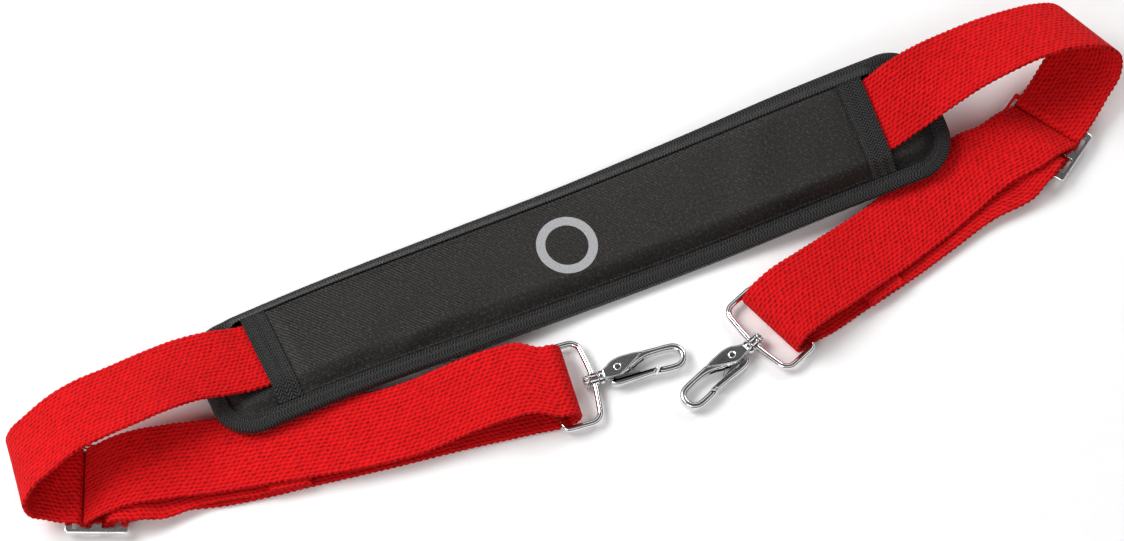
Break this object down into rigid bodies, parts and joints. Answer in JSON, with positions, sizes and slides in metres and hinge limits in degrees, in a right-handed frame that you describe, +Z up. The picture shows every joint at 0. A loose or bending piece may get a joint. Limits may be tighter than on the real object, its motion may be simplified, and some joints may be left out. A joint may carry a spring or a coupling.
{
  "type": "padded instrument carrying strap",
  "caption": "Red webbing carrying strap with a black padded shoulder sleeve, three-bar sliders, wire rings and swivel snap hooks, laid out folded.",
  "frame": {"origin": "middle of the laid-out strap's box, on the surface it lies on", "axes": "+X along the shoulder pad, +Y from the near edge with the hooks towards the pad's far edge, +Z up"},
  "size_m": [0.7577, 0.178, 0.0591],
  "materials": {
    "red_webbing": "heavy woven webbing, dull, with a beaded weave",
    "pad_cloth": "fine black twill with a soft sheen",
    "binding_tape": "ribbed black woven tape",
    "foam": "closed-cell foam, hidden",
    "grey_print": "thin light grey print",
    "bright_plate": "polished nickel plate",
    "bright_wire": "polished nickel plated wire",
    "cast_hook": "plated casting, satin on the cheeks and bright on the edges",
    "spring_steel": "plain spring steel"
  },
  "bodies": {
    "strap": {"pad_backing": "pad_cloth", "pad_foam_core": "foam", "pad_cover": "pad_cloth", "sleeve_panel": "pad_cloth", "hem_tape_left": "binding_tape", "hem_tape_right": "binding_tape", "pad_binding": "binding_tape", "printed_mark": "grey_print", "webbing_in_sleeve": "red_webbing", "webbing_left_arch": "red_webbing", "webbing_left_outer_wrap": "red_webbing", "webbing_left_bottom": "red_webbing", "webbing_left_top": "red_webbing", "webbing_left_inner_wrap": "red_webbing", "webbing_left_tail": "red_webbing", "tail_tab_left": "red_webbing", "webbing_right_arch": "red_webbing", "webbing_right_outer_wrap": "red_webbing", "webbing_right_bottom": "red_webbing", "webbing_right_top": "red_webbing", "webbing_right_inner_wrap": "red_webbing", "webbing_right_tail": "red_webbing", "tail_tab_right": "red_webbing", "slider_left": "bright_plate", "slider_right": "bright_plate"},
    "ring_left_body": {"ring_left": "bright_wire"},
    "ring_right_body": {"ring_right": "bright_wire"},
    "hook_left_body": {"hook_left": "cast_hook", "gate_rivet_left": "bright_wire", "gate_spring_left": "spring_steel", "swivel_washer_left": "bright_wire"},
    "hook_right_body": {"hook_right": "cast_hook", "gate_rivet_right": "bright_wire", "gate_spring_right": "spring_steel", "swivel_washer_right": "bright_wire"},
    "gate_left_body": {"gate_left": "cast_hook"},
    "gate_right_body": {"gate_right": "cast_hook"}
  },
  "joints": [
    {"name": "ring_left_swing", "type": "hinge", "parent": "strap", "child": "ring_left_body", "pos_m": [-0.04863, -0.04064, 0.0053], "axis": [0.1219, 0.9925, 0], "range_deg": [-80, 80]},
    {"name": "ring_right_swing", "type": "hinge", "parent": "strap", "child": "ring_right_body", "pos_m": [0.10565, -0.05274, 0.0053], "axis": [0.342, -0.9397, 0], "range_deg": [-80, 80]},
    {"name": "hook_left_swivel", "type": "hinge", "parent": "ring_left_body", "child": "hook_left_body", "pos_m": [-0.02203, -0.04391, 0.0053], "axis": [0.9925, -0.1219, 0], "continuous": true},
    {"name": "hook_right_swivel", "type": "hinge", "parent": "ring_right_body", "child": "hook_right_body", "pos_m": [0.08047, -0.06191, 0.0053], "axis": [-0.9397, -0.342, 0], "continuous": true},
    {"name": "gate_left_open", "type": "hinge", "parent": "hook_left_body", "child": "gate_left_body", "pos_m": [-0.00534, -0.04334, 0.0053], "axis": [0, 0, 1], "range_deg": [0, 18], "stiffness_Nm_per_rad": 0.05, "springref_deg": -8.59, "deforming": ["gate_spring_left"]},
    {"name": "gate_right_open", "type": "hinge", "parent": "hook_right_body", "child": "gate_right_body", "pos_m": [0.06408, -0.06511, 0.0053], "axis": [0, 0, -1], "range_deg": [0, 18], "stiffness_Nm_per_rad": 0.05, "springref_deg": -8.59, "deforming": ["gate_spring_right"]}
  ]
}
